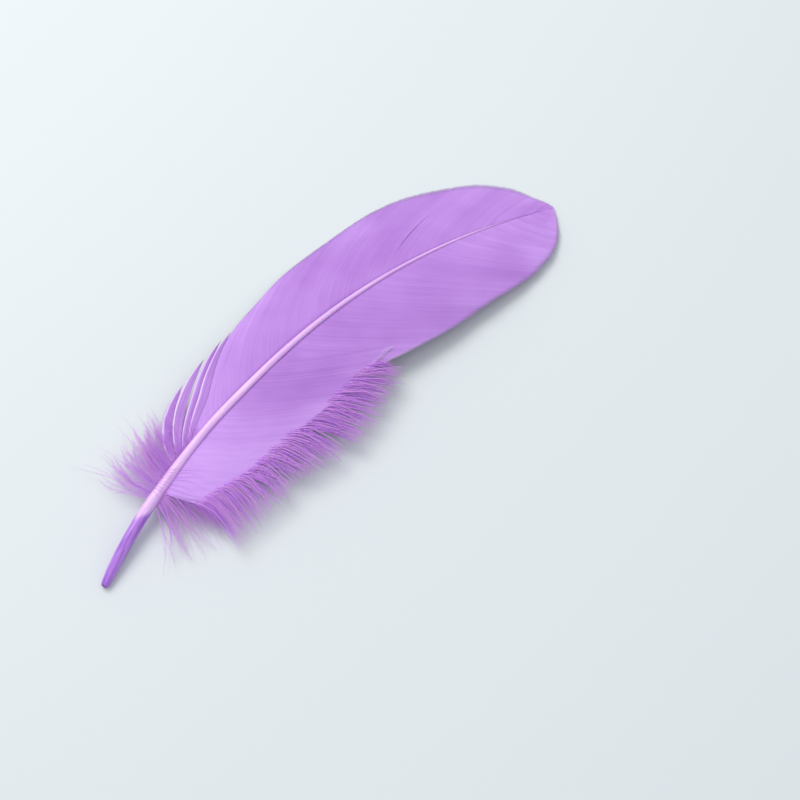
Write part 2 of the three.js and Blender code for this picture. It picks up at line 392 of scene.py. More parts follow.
def model_rod(name, sides, cuts=0, tip=1):
    """A rod of unit length along X, cut across into even lengths. Its corners lie a unit from the axis at its
    start, and tip from it at its end."""
    deselect()
    bpy.ops.mesh.primitive_cone_add(
        vertices=sides, radius1=1, radius2=tip, depth=1, location=(0.5, 0, 0), rotation=(0, math.pi / 2, 0)
    )
    rod = bpy.context.object
    rod.name = name
    bpy.ops.object.transform_apply(location=True, rotation=True, scale=True)
    if cuts:
        in_edit_mode(rod, "EDGE")
        bpy.ops.object.mode_set(mode="OBJECT")
        for edge in rod.data.edges:
            a, b = (rod.data.vertices[i].co for i in edge.vertices)
            edge.select = abs(a.x - b.x) > 0.5
        bpy.ops.object.mode_set(mode="EDIT")
        bpy.ops.mesh.subdivide(number_cuts=cuts)
        bpy.ops.object.mode_set(mode="OBJECT")
    return rod


def corners_of(thing):
    return np.array([v.co for v in thing.data.vertices], float)


def finish_piece(thing, material):
    """Gives a piece its finish and says what it stands for."""
    thing.data.materials.clear()
    thing.data.materials.append(material)
    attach(thing, "root")
    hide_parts("feather")


def map_of(root, s):
    """Each corner's place, which the materials read: its barb's root and how far along the barb it lies."""
    return np.stack(np.broadcast_arrays(root, s), -1)


def copies(name, model, places, maps, tone, rims=None):
    """One piece of many copies of a model, each with its own corners. places is copy by corner, and tone is
    how pale each is. Where two corners of an edge have the same number in rims, other than 0, it stays
    sharp."""
    count, corners = places.shape[:2]
    faces = [list(p.vertices) for p in model.data.polygons]
    sizes = np.tile([len(f) for f in faces], count)
    loops = (np.concatenate(faces)[None, :] + corners * np.arange(count)[:, None]).ravel()
    mesh = bpy.data.meshes.new(name)
    mesh.vertices.add(count * corners)
    mesh.vertices.foreach_set("co", places.astype(np.float32).ravel())
    mesh.loops.add(len(loops))
    mesh.loops.foreach_set("vertex_index", loops.astype(np.int32))
    mesh.polygons.add(len(sizes))
    mesh.polygons.foreach_set("loop_start", np.r_[0, np.cumsum(sizes)[:-1]].astype(np.int32))
    mesh.update(calc_edges=True)
    layer = mesh.uv_layers.new(name="grain")
    layer.data.foreach_set("uv", maps.reshape(-1, 2)[loops].astype(np.float32).ravel())
    paleness = mesh.attributes.new("tone", "FLOAT", "POINT")
    paleness.data.foreach_set("value", np.broadcast_to(tone, (count, corners)).astype(np.float32).ravel())
    mesh.shade_smooth()
    if rims is not None:
        ends = np.empty(2 * len(mesh.edges), np.int32)
        mesh.edges.foreach_get("vertices", ends)
        ends = rims[ends.reshape(-1, 2) % corners]
        sharp = mesh.attributes.new("sharp_edge", "BOOLEAN", "EDGE")
        sharp.data.foreach_set("value", (ends[:, 0] == ends[:, 1]) & (ends[:, 0] != 0))
    thing = bpy.data.objects.new(name, mesh)
    bpy.context.scene.collection.objects.link(thing)
    return thing


def join(name, things):
    deselect()
    for thing in things:
        thing.select_set(True)
    bpy.context.view_layer.objects.active = things[0]
    bpy.ops.object.join()
    joined = bpy.context.object
    joined.name = name
    joined.data.name = name
    return joined


# ---- Quill and shaft ----

PITH_GAP = 0.05  # between the pith and the quill's wall, in mm
PITH_POINT = 0.55  # the lower, the blunter the pith's point
WIDENING = (0.86, 0.95)  # where the pith widens to the shaft's own face, as shares of the quill's length
SQUARED = (0.17, 0.27)  # where the shaft turns from round to a little square
SQUARENESS = 0.09
GROOVE_SHARPNESS = 14  # the higher, the narrower the groove

RIM_INSET = 0.3  # of the radius, where the quill's cut end is opened
HOLLOW_STEPS = (0.03, 0.25, 0.35, 0.2)  # how far the hollow goes in each time, as shares of the quill
WALL_SINK = 0.16  # how far the wall's end sinks into the shaft, in mm
CUT_END = 0.0002  # corners below it are on the cut end
CUT_ROUNDING, CUT_RAGGEDNESS = 0.12, 0.14  # in mm


def wrap_round(rod, u, across, over, further=0.0):
    """Lays a straight rod's corners round the shaft's centreline, some of them further along it, and maps
    them by their millimetres along the shaft and by their turn from its top. The map's seam runs
    underneath."""
    corners = corners_of(rod)
    turn = np.arctan2(corners[:, 1], corners[:, 2]) / math.pi
    places = beside(shaft_point(u), -leftward(u), UPWARD, across, over) + forward(u) * further
    rod.data.vertices.foreach_set("co", places.ravel())
    while rod.data.uv_layers:
        rod.data.uv_layers.remove(rod.data.uv_layers[0])
    layer = rod.data.uv_layers.new(name="grain")
    for face in rod.data.polygons:
        spots = [rod.data.loops[i].vertex_index for i in face.loop_indices]
        seam = max(turn[j] for j in spots) - min(turn[j] for j in spots) > 1
        for i, j in zip(face.loop_indices, spots):
            past = 2 if seam and turn[j] < 0 else 0
            layer.data[i].uv = (u[j] * form().shaft_length / MM, turn[j] + past)
    rod.data.update()


class FEATHER_OT_shaft(bpy.types.Operator):
    """Models the pale shaft, from the point of its pith inside the quill to the vane's tip"""

    bl_idname = "feather.shaft"
    bl_label = "Shaft"

    def execute(self, context):
        sizes = context.scene.feather_quill
        rod = model_rod("shaft", 20, 89)
        x, y, z = corners_of(rod).T
        u = between((sizes.pith_start, SHAFT_END), x)
        whole = shaft_diameter(u) / 2
        pith = (whole - sizes.wall - PITH_GAP * MM) * ramp(u, sizes.pith_start, sizes.quill_end) ** PITH_POINT
        out = ramp(u, *(part * sizes.quill_end for part in WIDENING))
        radius = between((pith, whole), (3 - 2 * out) * out**2)
        square = ramp(u, *SQUARED)
        around = np.arctan2(z, y)
        groove = sizes.groove * square * np.clip(-np.sin(around), 0, 1) ** GROOVE_SHARPNESS
        radius = radius * (1 + SQUARENESS * square * np.sin(2 * around) ** 2) * (1 - groove)
        wrap_round(rod, u, y * radius, z * radius)
        rod.data.shade_smooth()
        finish_piece(rod, pale_horn())
        return {"FINISHED"}


class FEATHER_OT_quill(bpy.types.Operator):
    """Models the hollow, see-through quill with its cut end"""

    bl_idname = "feather.quill"
    bl_label = "Quill"

    def execute(self, context):
        sizes = context.scene.feather_quill
        tube = model_rod("quill", 28, 39)
        in_edit_mode(tube, "FACE")
        bpy.ops.object.mode_set(mode="OBJECT")
        for face in tube.data.polygons:
            face.select = face.normal.x < -0.9
        bpy.ops.object.mode_set(mode="EDIT")
        bpy.ops.mesh.inset(thickness=RIM_INSET)
        for depth in HOLLOW_STEPS:
            bpy.ops.mesh.extrude_region_move(TRANSFORM_OT_translate={"value": (depth, 0, 0)})
        bpy.ops.object.mode_set(mode="OBJECT")
        x, y, z = corners_of(tube).T
        inner = np.hypot(y, z) < 0.9
        u = x * sizes.quill_end
        whole = shaft_diameter(u) / 2
        # The wall sinks into the shaft, so that no step shows there.
        sink = WALL_SINK * MM * ramp(u, 0.9 * sizes.quill_end, sizes.quill_end) ** 1.5
        away = np.where(inner, whole - sizes.wall, whole - sink)
        away = np.where(~inner & (u < CUT_END), whole - CUT_ROUNDING * MM, away)
        turn = np.arctan2(y, z)
        ragged = CUT_RAGGEDNESS * MM * np.maximum(np.sin(3 * turn + 0.6) * (u < CUT_END), 0)
        wrap_round(tube, u, np.sin(turn) * away, np.cos(turn) * away, ragged[:, None])
        in_edit_mode(tube, "FACE")
        bpy.ops.mesh.select_all(action="SELECT")
        bpy.ops.mesh.normals_make_consistent(inside=False)
        bpy.ops.object.mode_set(mode="OBJECT")
        tube.data.shade_smooth()
        finish_piece(tube, clear_horn())
        return {"FINISHED"}


# ---- Vanes ----

FANNING = 0.65  # how far out on the barbs they lie evenly, as a share of their lean
SHORTEST = 0.012  # how much shorter than the longest a barb may be
UNHOOKED = 9  # how many places in a vane have a few barbs that let go of each other
UNHOOKED_OPENING = (0.06, 0.3)  # in mm
# Folds that run along the barbs: from one to the next and how high each is, in mm.
FOLDS = ((31, 0.22), (13.5, 0.11), (6.2, 0.035))
# How far the lower lobe's end lies above its place, and the upper lobe's start below, in mm.
OVERLIE, TUCK = 0.55, 0.4
TUCK_SWEEP = -0.042  # how far the tips of the tucked barbs are swept back, as a share of the shaft
PALEST = 2.4


def ruffle(side, root, s, chance):
    """How a vane's barbs lie: how far each point is moved along the shaft and raised, how far each tip is
    swept along the margin, how loose each barb is and how pale each point, which carries painted light on
    the folds and painted highlights on edges."""
    count = len(root)
    shift = split_shift(side, root, s)
    # Where barbs have unhooked, a hair-thin line opens between them towards the margin.
    for at in chance.uniform(side["start"] + 0.03, 0.93, UNHOOKED):
        wide = chance.uniform(*UNHOOKED_OPENING) * MM
        shift = shift + wide / 2 * s**3 * np.sign(root - at) * np.exp(-np.abs(root - at) / 0.012)
    turns = 2 * math.pi * root * form().shaft_length / MM
    folds = sum(size * MM * np.sin(turns / wave + chance.uniform(0, 6)) for wave, size in FOLDS)
    rise = folds * s**1.4
    swept, loose = np.zeros_like(root), np.zeros_like(root)
    # tone is how pale each point is. Its fold term is painted light: fold crests paler, hollows darker. The
    # vane is also paler towards the margin and the tip.
    tone = 0.55 + folds / (2.4 * MM) * s + 0.2 * ramp(s, 0.6, 1) + 0.15 * ramp(root + 0.1 * s, 0.7, 0.9)
    if side["sign"] < 0:
        # The lower lobe's last barbs lie over the upper lobe's first, which are tucked in below them.
        past = root >= LOBE_END
        over, tucked = ~past * bell(root, LOBE_END, 0.04), past * bell(root, LOBE_END, 0.05)
        swept = TUCK_SWEEP * tucked
        rise = rise + OVERLIE * MM * over * s - TUCK * MM * tucked * s**0.7
        # The vane's first barbs have let go of each other.
        loose = ramp(root, 0.172, side["start"])
        shift = shift + loose * MM * 0.4 * chance.standard_normal((count, 1)) * s**2
        rise = rise + loose * MM * 0.08 * chance.standard_normal((count, 1)) * s
        # Next to the lobe's point both margins get a painted highlight along their edge.
        rim = bell(root, LOBE_END, 0.07) * ramp(s, 0.93, 0.98)
        tone = tone + 1.6 * rim + 0.2 * loose + 0.6 * ramp(root, 0.36, 0.21) + 0.12 * ramp(root, 0.75, 0.9)
    else:
        # Towards the foot the vane is paler, with painted sheen streaks that are lighter or darker from one
        # bundle of three barbs to the next, and the first barb gets a painted highlight.
        low = ramp(root, 0.42, side["start"])
        sheen_streaks = np.repeat(chance.standard_normal(count // 3 + 1), 3)[:count, None]
        tone = tone + 0.25 * low + 0.25 * sheen_streaks * low * ramp(s, 0.3, 0.7)
        tone = tone + 1.5 * bell(root, side["start"], 0.003)
    return shift, rise, swept, loose, np.clip(tone + 0.04 * chance.standard_normal((count, 1)), 0, PALEST)


def build_vane(name, side):
    """The hooked barbs of one side: a ridged strip for each, its wings lapped over its neighbour's."""
    sizes = bpy.context.scene.feather_barbs
    chance = np.random.default_rng(side["seed"])
    model = model_rod(name + "_barb", 4, 12)
    x, y, z = corners_of(model).T
    # Where the barbs fan out, more of them leave the shaft, so that they lie evenly in the vane.
    roots = np.linspace(side["start"], SHAFT_END, 400)
    reached = roots + FANNING * along(side["lean"], roots)
    count = int((reached[-1] - reached[0]) * form().shaft_length / sizes.spacing)
    root = np.interp(np.linspace(reached[0], reached[-1], count), reached, roots)[:, None]
    s = (x * 0.999 + 0.0005) * (1 - SHORTEST * chance.uniform(0, 1, (count, 1)) ** 2)
    shift, rise, swept, loose, tone = ruffle(side, root, s, chance)

    def place(r, t):
        return barb_point(side, r, np.clip(t, 1e-4, 1), shift, rise, swept)

    step = 1e-3
    ahead = unit(place(root, np.minimum(s + step, 1)) - place(root, np.maximum(s - step, 1e-4)))
    # Next to the lobe's end the neighbours are looked for on the barb's own lobe.
    at_end = (side["sign"] < 0) & (np.abs(root - LOBE_END) < 2 * step)
    near = root + np.where(at_end, 3 * step, 0) * np.where(root < LOBE_END, -1, 1)
    neighbour = (place(near + step, s) - place(near - step, s)) / (2 * step)
    neighbour = neighbour - (neighbour * ahead).sum(-1, keepdims=True) * ahead
    gap = np.linalg.norm(neighbour, axis=-1) * np.gradient(root[:, 0])[:, None]
    sideways = -side["sign"] * unit(neighbour)
    up = unit(np.cross(ahead, sideways))
    # A loose barb's wings are folded in, and every barb's wings run out at its tip.
    half = gap * (0.5 + sizes.overlap) * np.clip((1 - s) * 14, 0.12, 1) * (1 - 0.55 * loose * ramp(s, 0, 0.3))
    half = np.clip(half, 0.02 * MM, 0.5 * MM)
    rib = np.where(z > 0, sizes.ridge, sizes.keel * (1.25 - s))
    places = beside(place(root, s), sideways, up, y * half, z * rib + y * sizes.lap)
    vane = copies(name, model, places, map_of(root, s), tone, np.round(y))
    bpy.data.objects.remove(model)
    return vane


class FEATHER_OT_vanes(bpy.types.Operator):
    """Models the barbs of the narrow and the wide vane"""

    bl_idname = "feather.vanes"
    bl_label = "Vanes"

    def execute(self, context):
        for name, side in SIDES.items():
            finish_piece(build_vane(name + "_vane", side), dyed_barbs())
        return {"FINISHED"}


# Locks of barbs that have parted from the foot of the narrow vane: the places that the middle of each passes,
# as [along the shaft, mm out from the even bend], then its width, its height over the vane and its barbs.
LOCKS = (
    (
        [[0.244, 0.2], [0.285, 3.4], [0.321, 6.0], [0.343, 8.2], [0.367, 10.5], [0.401, 13.4], [0.436, 15.5]],
        2.0, 0.45, 9,
    ),
    ([[0.232, 0.2], [0.27, 4.0], [0.316, 7.8], [0.349, 10.8], [0.383, 13.6], [0.415, 15.6]], 1.9, 0.3, 8),
    ([[0.222, 0.2], [0.25, 4.6], [0.285, 8.8], [0.32, 11.7], [0.35, 13.6], [0.376, 15.0]], 2.2, 0.6, 9),
    ([[0.212, 0.2], [0.232, 5.2], [0.262, 9.6], [0.295, 12.4], [0.325, 14.2]], 2.2, 0.3, 8),
)
LOCK_TAPER = 2.0  # how much earlier than its middle a lock's sides end, in mm
LOCK_CROWN = 0.25  # in mm for a lock one unit wide


def lock_line(stations, height, t):
    """A lock's middle line at t, and its place along the shaft."""
    at, out = np.array(stations).T
    order = np.linspace(0, 1, len(at))
    u = along(np.stack([order, at], -1), t)
    w = MM * along(np.stack([order, out], -1), t)
    return vane_point(u, w, 1, MM * height * np.sin(np.pi * np.clip(t, 0, 1)) ** 0.7), u


class FEATHER_OT_locks(bpy.types.Operator):
    """Models the locks of barbs that have parted from the foot of the narrow vane"""

    bl_idname = "feather.locks"
    bl_label = "Locks"

    def execute(self, context):
        chance = np.random.default_rng(17)
        model = model_rod("lock_barb", 4, 16)
        x, y, z = corners_of(model).T
        s = np.clip(x, 0, 1)[None, :]
        step = 0.004
        locks = []
        for stations, width, height, count in LOCKS:
            middle, u = lock_line(stations, height, s)
            later, earlier = (lock_line(stations, height, s + move)[0] for move in (step, -step))
            ahead = unit(later - earlier)
            sideways = -right_of(ahead)
            up = np.cross(ahead, sideways)
            spread = np.sin(np.pi * s**0.8) ** 0.8 + 0.06
            part = np.linspace(-0.5, 0.5, count)[:, None] + 0.04 * chance.standard_normal((count, 1))
            middle = middle - ahead * (LOCK_TAPER * MM * np.abs(part) * s)[..., None]
            crown = LOCK_CROWN * MM * (0.25 - part**2) * spread
            middle = beside(middle, sideways, up, part * width * MM * spread, crown)
            half = np.maximum(0.75 * width * MM / count * spread, 0.02 * MM)
            places = beside(middle, sideways, up, y * half, MM * (0.03 * z * (1.1 - s) + 0.015 * y))
            # A painted highlight makes the outer edge of each lock pale.
            tone = 0.6 + 1.5 * ramp(part, 0.25, 0.5) + 0.08 * chance.standard_normal((count, 1))
            maps = map_of(u + 0.003 * part, s)
            locks.append(copies(f"lock_{len(locks)}", model, places, maps, tone, np.round(y)))
        bpy.data.objects.remove(model)
        finish_piece(join("parted_locks", locks), dyed_barbs())
        return {"FINISHED"}


# ---- Down ----

# The fringe comes from between these places along the shaft, in two layers: the first from under the vane's
# edge, the second over it. Each has its count of barbs, how deep in the vane they start at most, in mm, their
# length as a share of the fringe's width, their height over the vane, in mm, and how pale they are.
FRINGE_ENDS = (0.172, 0.562)
FRINGE_LAYERS = {
    "margin_down": (260, 1.5, 1.0, -0.1, 0.2),
    "margin_down_over": (250, 2.0, 0.9, 0.1, 0.8),
}
FRINGE_TURN = (104, 42)  # degrees away from the shaft, for the fringe's first and last barbs

# Loose barbs that leave the shaft itself: their count, where the first and the last leave it, how many
# degrees those two turn away from it, how many each bends on its way, the lengths of the first and the last
# and the heights of the lowest and the highest end, in mm, and how pale they are.
WIDE_FOOT = (
    (44, (0.142, 0.176), (128, 92), 14, (20, 22), (0.4, 3.2), 0.6),
    (30, (0.15, 0.185), (122, 80), 24, (11, 16), (1, 5), 0.9),
)
CROSSING = (9, (0.158, 0.192), (100, 52), 22, (17, 12), (4.5, 6.5), 1.3)
NARROW_FOOT = (
    (56, (0.146, 0.24), (92, 50), -38, (17, 20), (0.4, 3), 0.6),
    (48, (0.165, 0.262), (66, 28), -24, (15, 18), (1, 4.5), 0.9),
)
NARROW_WISPS = (14, (0.15, 0.2), (92, 44), -18, (25, 24), (1, 6), 1.0)
FIRST_BARBS = 60  # loose barbs from the wide vane's first ones


def strand_paths(start, headings, lengths, end_heights, settle):
    """Level curves that turn as headings says, and sink or rise to their end heights."""
    steps = headings.shape[1] - 1
    moves = flat((headings[:, :-1] + headings[:, 1:]) / 2) * (lengths / steps)[:, None, None]
    paths = np.concatenate([np.zeros_like(moves[:, :1]), np.cumsum(moves, 1)], 1) + start[:, None, :]
    s = np.linspace(0, 1, steps + 1)[None, :]
    paths[..., 2] = between((start[:, 2:3], end_heights[:, None]), s**settle)
    return paths


def on_path(paths, s):
    """Points and directions at s along each path."""
    last = paths.shape[1] - 1
    i = np.clip((s * last).astype(int), 0, last - 1)
    rows = np.arange(len(paths))[:, None]
    a, b = paths[rows, i], paths[rows, i + 1]
    return between((a, b), (s * last - i)[..., None]), unit(b - a)


def build_ribs(plume):
    """A thin rib along each path, tapering to its end."""
    paths = plume["paths"]
    model = model_rod("rib", 3, paths.shape[1] - 2)
    x, y, z = corners_of(model).T
    s = np.broadcast_to(x, (len(paths), len(x)))
    middle, ahead = on_path(paths, np.clip(s, 0, 1 - 1e-6))
    sideways = right_of(ahead)
    radius = plume["rib"] / 2 * (1.05 - s) ** 0.7
    places = beside(middle, sideways, np.cross(sideways, ahead), -y * radius, z * radius)
    ribs = copies("ribs", model, places, map_of(plume["root"][:, None], s), plume["tone"][:, None] + 0.4)
    bpy.data.objects.remove(model)
    return ribs


def build_barbules(plume, chance):
    """Fine spikes along both sides of each path, longest in the middle."""
    paths, lengths = plume["paths"], plume["lengths"]
    count = int(np.max(lengths) / plume["spacing"])
    s = np.linspace(0.03, 0.985, count) + chance.uniform(-0.4, 0.4, (len(paths), count)) / count
    kept = chance.uniform(0, 1, s.shape) < (lengths / np.max(lengths))[:, None]
    s = np.clip(s, 0, 0.999)
    model = model_rod("barbule", 3, tip=0)
    x, y, z = corners_of(model).T[:, :, None]
    radius = bpy.context.scene.feather_down.barbule / 2
    middle, ahead = on_path(paths, s)
    sideways = right_of(ahead)
    spikes = []
    for hand in (-1, 1):
        lean = np.radians(plume["lean"] + chance.uniform(-15, 15, s.shape))[..., None]
        lift = chance.uniform(-0.3, 0.3, s.shape)[..., None]
        way = unit(ahead * np.cos(lean) + hand * sideways * np.sin(lean) + UPWARD * lift)
        long = plume["size"] * (0.55 + 0.45 * np.sin(np.pi * np.clip(s * 1.1, 0, 1))) * (1.12 - s**3)
        long = (long * chance.uniform(0.6, 1.15, s.shape))[:, :, None, None]
        across = right_of(way)
        over = np.cross(across, way)
        way, across, over = way[:, :, None], across[:, :, None], over[:, :, None]
        spike = middle[:, :, None] + way * x * long - across * y * radius + over * z * radius
        spike[..., 2] = np.maximum(spike[..., 2], 0.03 * MM)
        spikes.append(spike[kept])
    maps = np.repeat(map_of(plume["root"][:, None], s)[kept][:, None], len(x), 1)
    tones = np.broadcast_to(plume["tone"][:, None], s.shape)[kept][:, None]
    both = np.concatenate(spikes)
    barbules = copies("barbules", model, both, np.concatenate([maps, maps]), np.concatenate([tones, tones]))
    bpy.data.objects.remove(model)
    return barbules


def build_plumes(name, chance, plumes):
    """One piece of loose barbs with their barbules."""
    things = []
    for plume in plumes:
        things += [build_ribs(plume), build_barbules(plume, chance)]
    finish_piece(join(name, things), loose_barbs())


def clumped(chance, count, size, reach=4):
    """Random numbers that change little from one to the next, as in barbs that cling together."""
    rough = np.repeat(chance.standard_normal(count // reach + 2), reach)[:count]
    return size * (rough + 0.5 * chance.standard_normal(count))


def plume_of(chance, start, u, sign, swing, lengths, ends, tone, settle=1.8, **fine):
    """Loose barbs from their starts. swing is how far each turns away from the shaft at each step along it,
    in radians. fine holds the sizes of the ribs and of the barbules."""
    paths = strand_paths(start, heading_at(u)[:, None] + sign * swing, lengths, ends, settle)
    tones = np.clip(tone + 0.2 * chance.standard_normal(len(u)), 0, 1.3)
    return dict(paths=paths, root=u, lengths=lengths, tone=tones, **fine)


class FEATHER_OT_margin_down(bpy.types.Operator):
    """Models the loose ends of the wide vane's lower barbs, combed outward from its margin"""

    bl_idname = "feather.margin_down"
    bl_label = "Margin down"

    def execute(self, context):
        chance = np.random.default_rng(11)
        side = SIDES["wide"]
        sizes = context.scene.feather_down
        fine = dict(rib=1.6 * sizes.rib, size=0.8 * MM, spacing=0.85 * sizes.barbule_spacing, lean=34)
        s = np.linspace(0, 1, 10)[None, :]
        plumes = {}
        for name, (count, deepest, long, height, tone) in FRINGE_LAYERS.items():
            t = (np.arange(count) + chance.uniform(-0.4, 0.4, count)) / count
            u = between(FRINGE_ENDS, np.clip(t, 0, 1))
            inset = MM * chance.uniform(0.5, deepest, count)
            start = vane_point(u, margin_width(side, u) - inset, -1, height * MM)
            turn = np.radians(between(FRINGE_TURN, ramp(t, 0.1, 1) ** 0.8))
            turn = turn + clumped(chance, count, math.radians(6))
            # Each leaves the vane nearly as the hooked barbs lie, and then swings out.
            first = np.minimum(turn, np.radians(38 + 40 * ramp(t, 1 / 3, 0)))[:, None]
            swing = between((first, turn[:, None]), ramp(s, 0, 0.3) ** 0.8) + 0.28 * (s - 0.4)
            reach = MM * along(FRINGE_WIDTH, u) - margin_width(side, u) + inset
            lengths = reach / np.sin(np.maximum(np.radians(37), turn)) * long
            lengths = lengths * np.clip(1 + clumped(chance, count, 0.07), 0.6, 1.06)
            ends = np.maximum(0.5 * MM, start[:, 2] * chance.uniform(0.55, 1.05, count))
            plumes[name] = plume_of(chance, start, u, -1, swing, lengths, ends, tone, **fine)
        for name, plume in plumes.items():
            build_plumes(name, chance, [plume])
        return {"FINISHED"}


def lay_over(paths, u):
    """Lifts paths that cross the shaft near u so that they lie over it and over the wide vane."""
    for path, root in zip(paths, u):
        there = root + (path - shaft_point(root)) @ forward(root) / form().shaft_length
        aside = (path - shaft_point(there)) @ leftward(root)
        radius = 1.05 * shaft_diameter(there) / 2
        crown = shaft_point(there)[:, 2] + np.sqrt(np.maximum(radius**2 - aside**2, 0))
        out = np.maximum(MM * along(SHAFT_OFFSET, there) - aside, 0)
        on_vane = vane_point(there, out, -1, 0.3 * MM)[:, 2]
        least = np.where(np.abs(aside) < radius, crown, np.where(aside < 0, on_vane, 0))
        path[:, 2] = np.maximum(path[:, 2], least)


def from_shaft(chance, sign, row, where=0.35, **more):
    """Loose barbs that leave the shaft as the row says. where is how far out from its centre they start, of
    its diameter, and below 0 they start on its other side and cross it."""
    count, ends, turns, bend, lengths, heights, tone = row
    t = np.linspace(0, 1, count)
    s = np.linspace(0, 1, 12 if where > 0 else 36)[None, :]
    u = between(ends, t)
    start = shaft_point(u) + leftward(u) * (sign * shaft_diameter(u) * where)[:, None]
    start[:, 2] += MM * chance.uniform(-0.4, 0.4, count)
    turn = np.radians(between(turns, t)) + clumped(chance, count, math.radians(7), 3)
    wave = 0.32 * np.sin(s * 5 + chance.uniform(0, 6, count)[:, None])
    swing = turn[:, None] + math.radians(bend) * (s - 0.35) + wave * s
    long = MM * between(lengths, t) * chance.uniform(0.72, 1.05, count)
    high = MM * between(heights, chance.uniform(0, 1, count) ** 2)
    plume = plume_of(chance, start, u, sign, swing, long, high, tone, **more)
    if where < 0:
        lay_over(plume["paths"], u)
    return plume


def from_first_barbs(chance, count, **fine):
    """Loose barbs that leave the wide vane's first barbs, just under them."""
    start_at = SIDES["wide"]["start"]
    later = chance.uniform(0, 1, count) ** 1.5
    root = between((start_at, start_at + 0.01), later)
    start = barb_point(SIDES["wide"], root, chance.uniform(0.15, 0.98, count), rise=-0.1 * MM)
    turn = np.radians(between((118, 88), later)) + clumped(chance, count, math.radians(8))
    swing = turn[:, None] * (0.8 + 0.25 * np.linspace(0, 1, 10)[None, :])
    lengths = MM * chance.uniform(7, 15, count)
    ends = MM * between((0.5, 3), chance.uniform(0, 1, count) ** 2)
    return plume_of(chance, start, root, -1, swing, lengths, ends, 0.8, **fine)


class FEATHER_OT_foot_down(bpy.types.Operator):
    """Models the down at the foot of both vanes"""

    bl_idname = "feather.foot_down"
    bl_label = "Foot down"

    def execute(self, context):
        sizes = context.scene.feather_down
        gap = sizes.barbule_spacing
        soft = dict(rib=sizes.rib, size=2.4 * MM, spacing=0.9 * gap, lean=24)
        hairy = dict(rib=1.1 * sizes.rib, size=0.9 * MM, spacing=gap, lean=40)
        wispy = dict(rib=1.35 * sizes.rib, size=0.6 * MM, spacing=5 * gap, lean=40)
        chance = np.random.default_rng(23)
        plumes = [from_shaft(chance, -1, row, **hairy) for row in WIDE_FOOT]
        plumes.append(from_shaft(chance, -1, CROSSING, where=-0.46, settle=2.4, **wispy))
        plumes.append(from_first_barbs(chance, FIRST_BARBS, **hairy))
        build_plumes("foot_down_wide", chance, plumes)
        # Below the narrow vane: soft plumes that bend forward, and some long thin wisps.
        chance = np.random.default_rng(31)
        plumes = [from_shaft(chance, 1, row, **soft) for row in NARROW_FOOT]
        plumes.append(from_shaft(chance, 1, NARROW_WISPS, **hairy))
        build_plumes("foot_down_narrow", chance, plumes)
        return {"FINISHED"}


# ---- Finishes ----

KERATIN_IOR = 1.54
COLOURS = {"data_type": "RGBA"}
GRAIN, TONE = {"uv_map": "grain"}, {"attribute_name": "tone"}
ADD, TIMES, TIMES_PLUS = ({"operation": name} for name in ("ADD", "MULTIPLY", "MULTIPLY_ADD"))


def add(tree, kind, settings=None, **sockets):
    """Adds a node with its settings. Each socket goes by its name, or by i and its number. It is linked where
    it is given an output, or a node, which stands for its first output. Anything else is its value."""
    node = tree.nodes.new("ShaderNode" + kind)
    for key, value in (settings or {}).items():
        setattr(node, key, value)
    for key, value in sockets.items():
        if key[1:].isdigit():
            socket = node.inputs[int(key[1:])]
        else:
            socket = next(i for i in node.inputs if i.enabled and i.name == key.replace("_", " "))
        if isinstance(value, bpy.types.Node):
            value = next(o for o in value.outputs if o.enabled)
        if isinstance(value, bpy.types.NodeSocket):
            tree.links.new(value, socket)
        else:
            socket.default_value = value
    return node


def finish(name):
    """Turns a function that adds a finish's nodes and returns its shader into one that returns the material
    of that name, which is made on its first use."""

    def named(add_nodes):
        @functools.wraps(add_nodes)
        def material():
            made = bpy.data.materials.get(name)
            if not made:
                made = bpy.data.materials.new(name)
                made.use_nodes = True
                made.node_tree.nodes.clear()
                shader = add_nodes(made.node_tree, bpy.context.scene.feather_colours)
                add(made.node_tree, "OutputMaterial", Surface=shader)
            return made

        return material

    return named


@finish("dyed_keratin_barbs")
def dyed_barbs(tree, colours):
    """Goose barbs, white keratin that has taken a lilac acid dye: matt and silky, with the dye a little
    uneven from barb to barb."""
    grain = add(tree, "UVMap", GRAIN)
    # Across the barbs the dye changes every few barbs, about 1 mm. Along a barb it hardly changes.
    streaks = add(tree, "Mapping", Vector=grain, Scale=(170, 3, 1))
    fine = add(tree, "TexNoise", Vector=streaks, Scale=1.0, Detail=4.0)
    band = add(tree, "MapRange", Value=fine, From_Min=0.3, From_Max=0.7)
    # Cloudy patches of about 15 mm, from how the dye dried.
    place = add(tree, "TexCoord").outputs["Object"]
    clouds = add(tree, "TexNoise", Vector=place, Scale=60.0, Detail=2.0)
    cloud = add(tree, "MapRange", Value=clouds, From_Min=0.35, From_Max=0.65)
    # The tone attribute makes the vane paler: painted light on the crests of its folds, and paler margins
    # where the barbs lie thinner.
    tone = add(tree, "Attribute", TONE).outputs["Fac"]
    pale = add(tree, "Math", TIMES_PLUS, i0=cloud, i1=0.2, i2=tone)
    paler = add(tree, "MapRange", Value=pale, From_Min=0.3, From_Max=1.2)
    base = add(tree, "Mix", COLOURS, Factor=paler, A=colours.vane, B=colours.vane_pale)
    # Painted highlight: the edges of lobes and locks and the narrow vane's first barb turn nearly white.
    thin = add(tree, "MapRange", Value=pale, From_Min=1.65, From_Max=2.1)
    edge_highlighted = add(tree, "Mix", COLOURS, Factor=thin, A=base, B=colours.vane_edge_highlight)
    weak = add(tree, "Math", TIMES, i0=band, i1=0.16)
    dyed = add(tree, "Mix", COLOURS, Factor=weak, A=edge_highlighted, B=colours.vane_deep)
    return add(
        tree, "BsdfPrincipled", Base_Color=dyed, Roughness=0.55, IOR=KERATIN_IOR, Specular_IOR_Level=0.3,
        Sheen_Weight=0.25, Sheen_Roughness=0.4,
    )


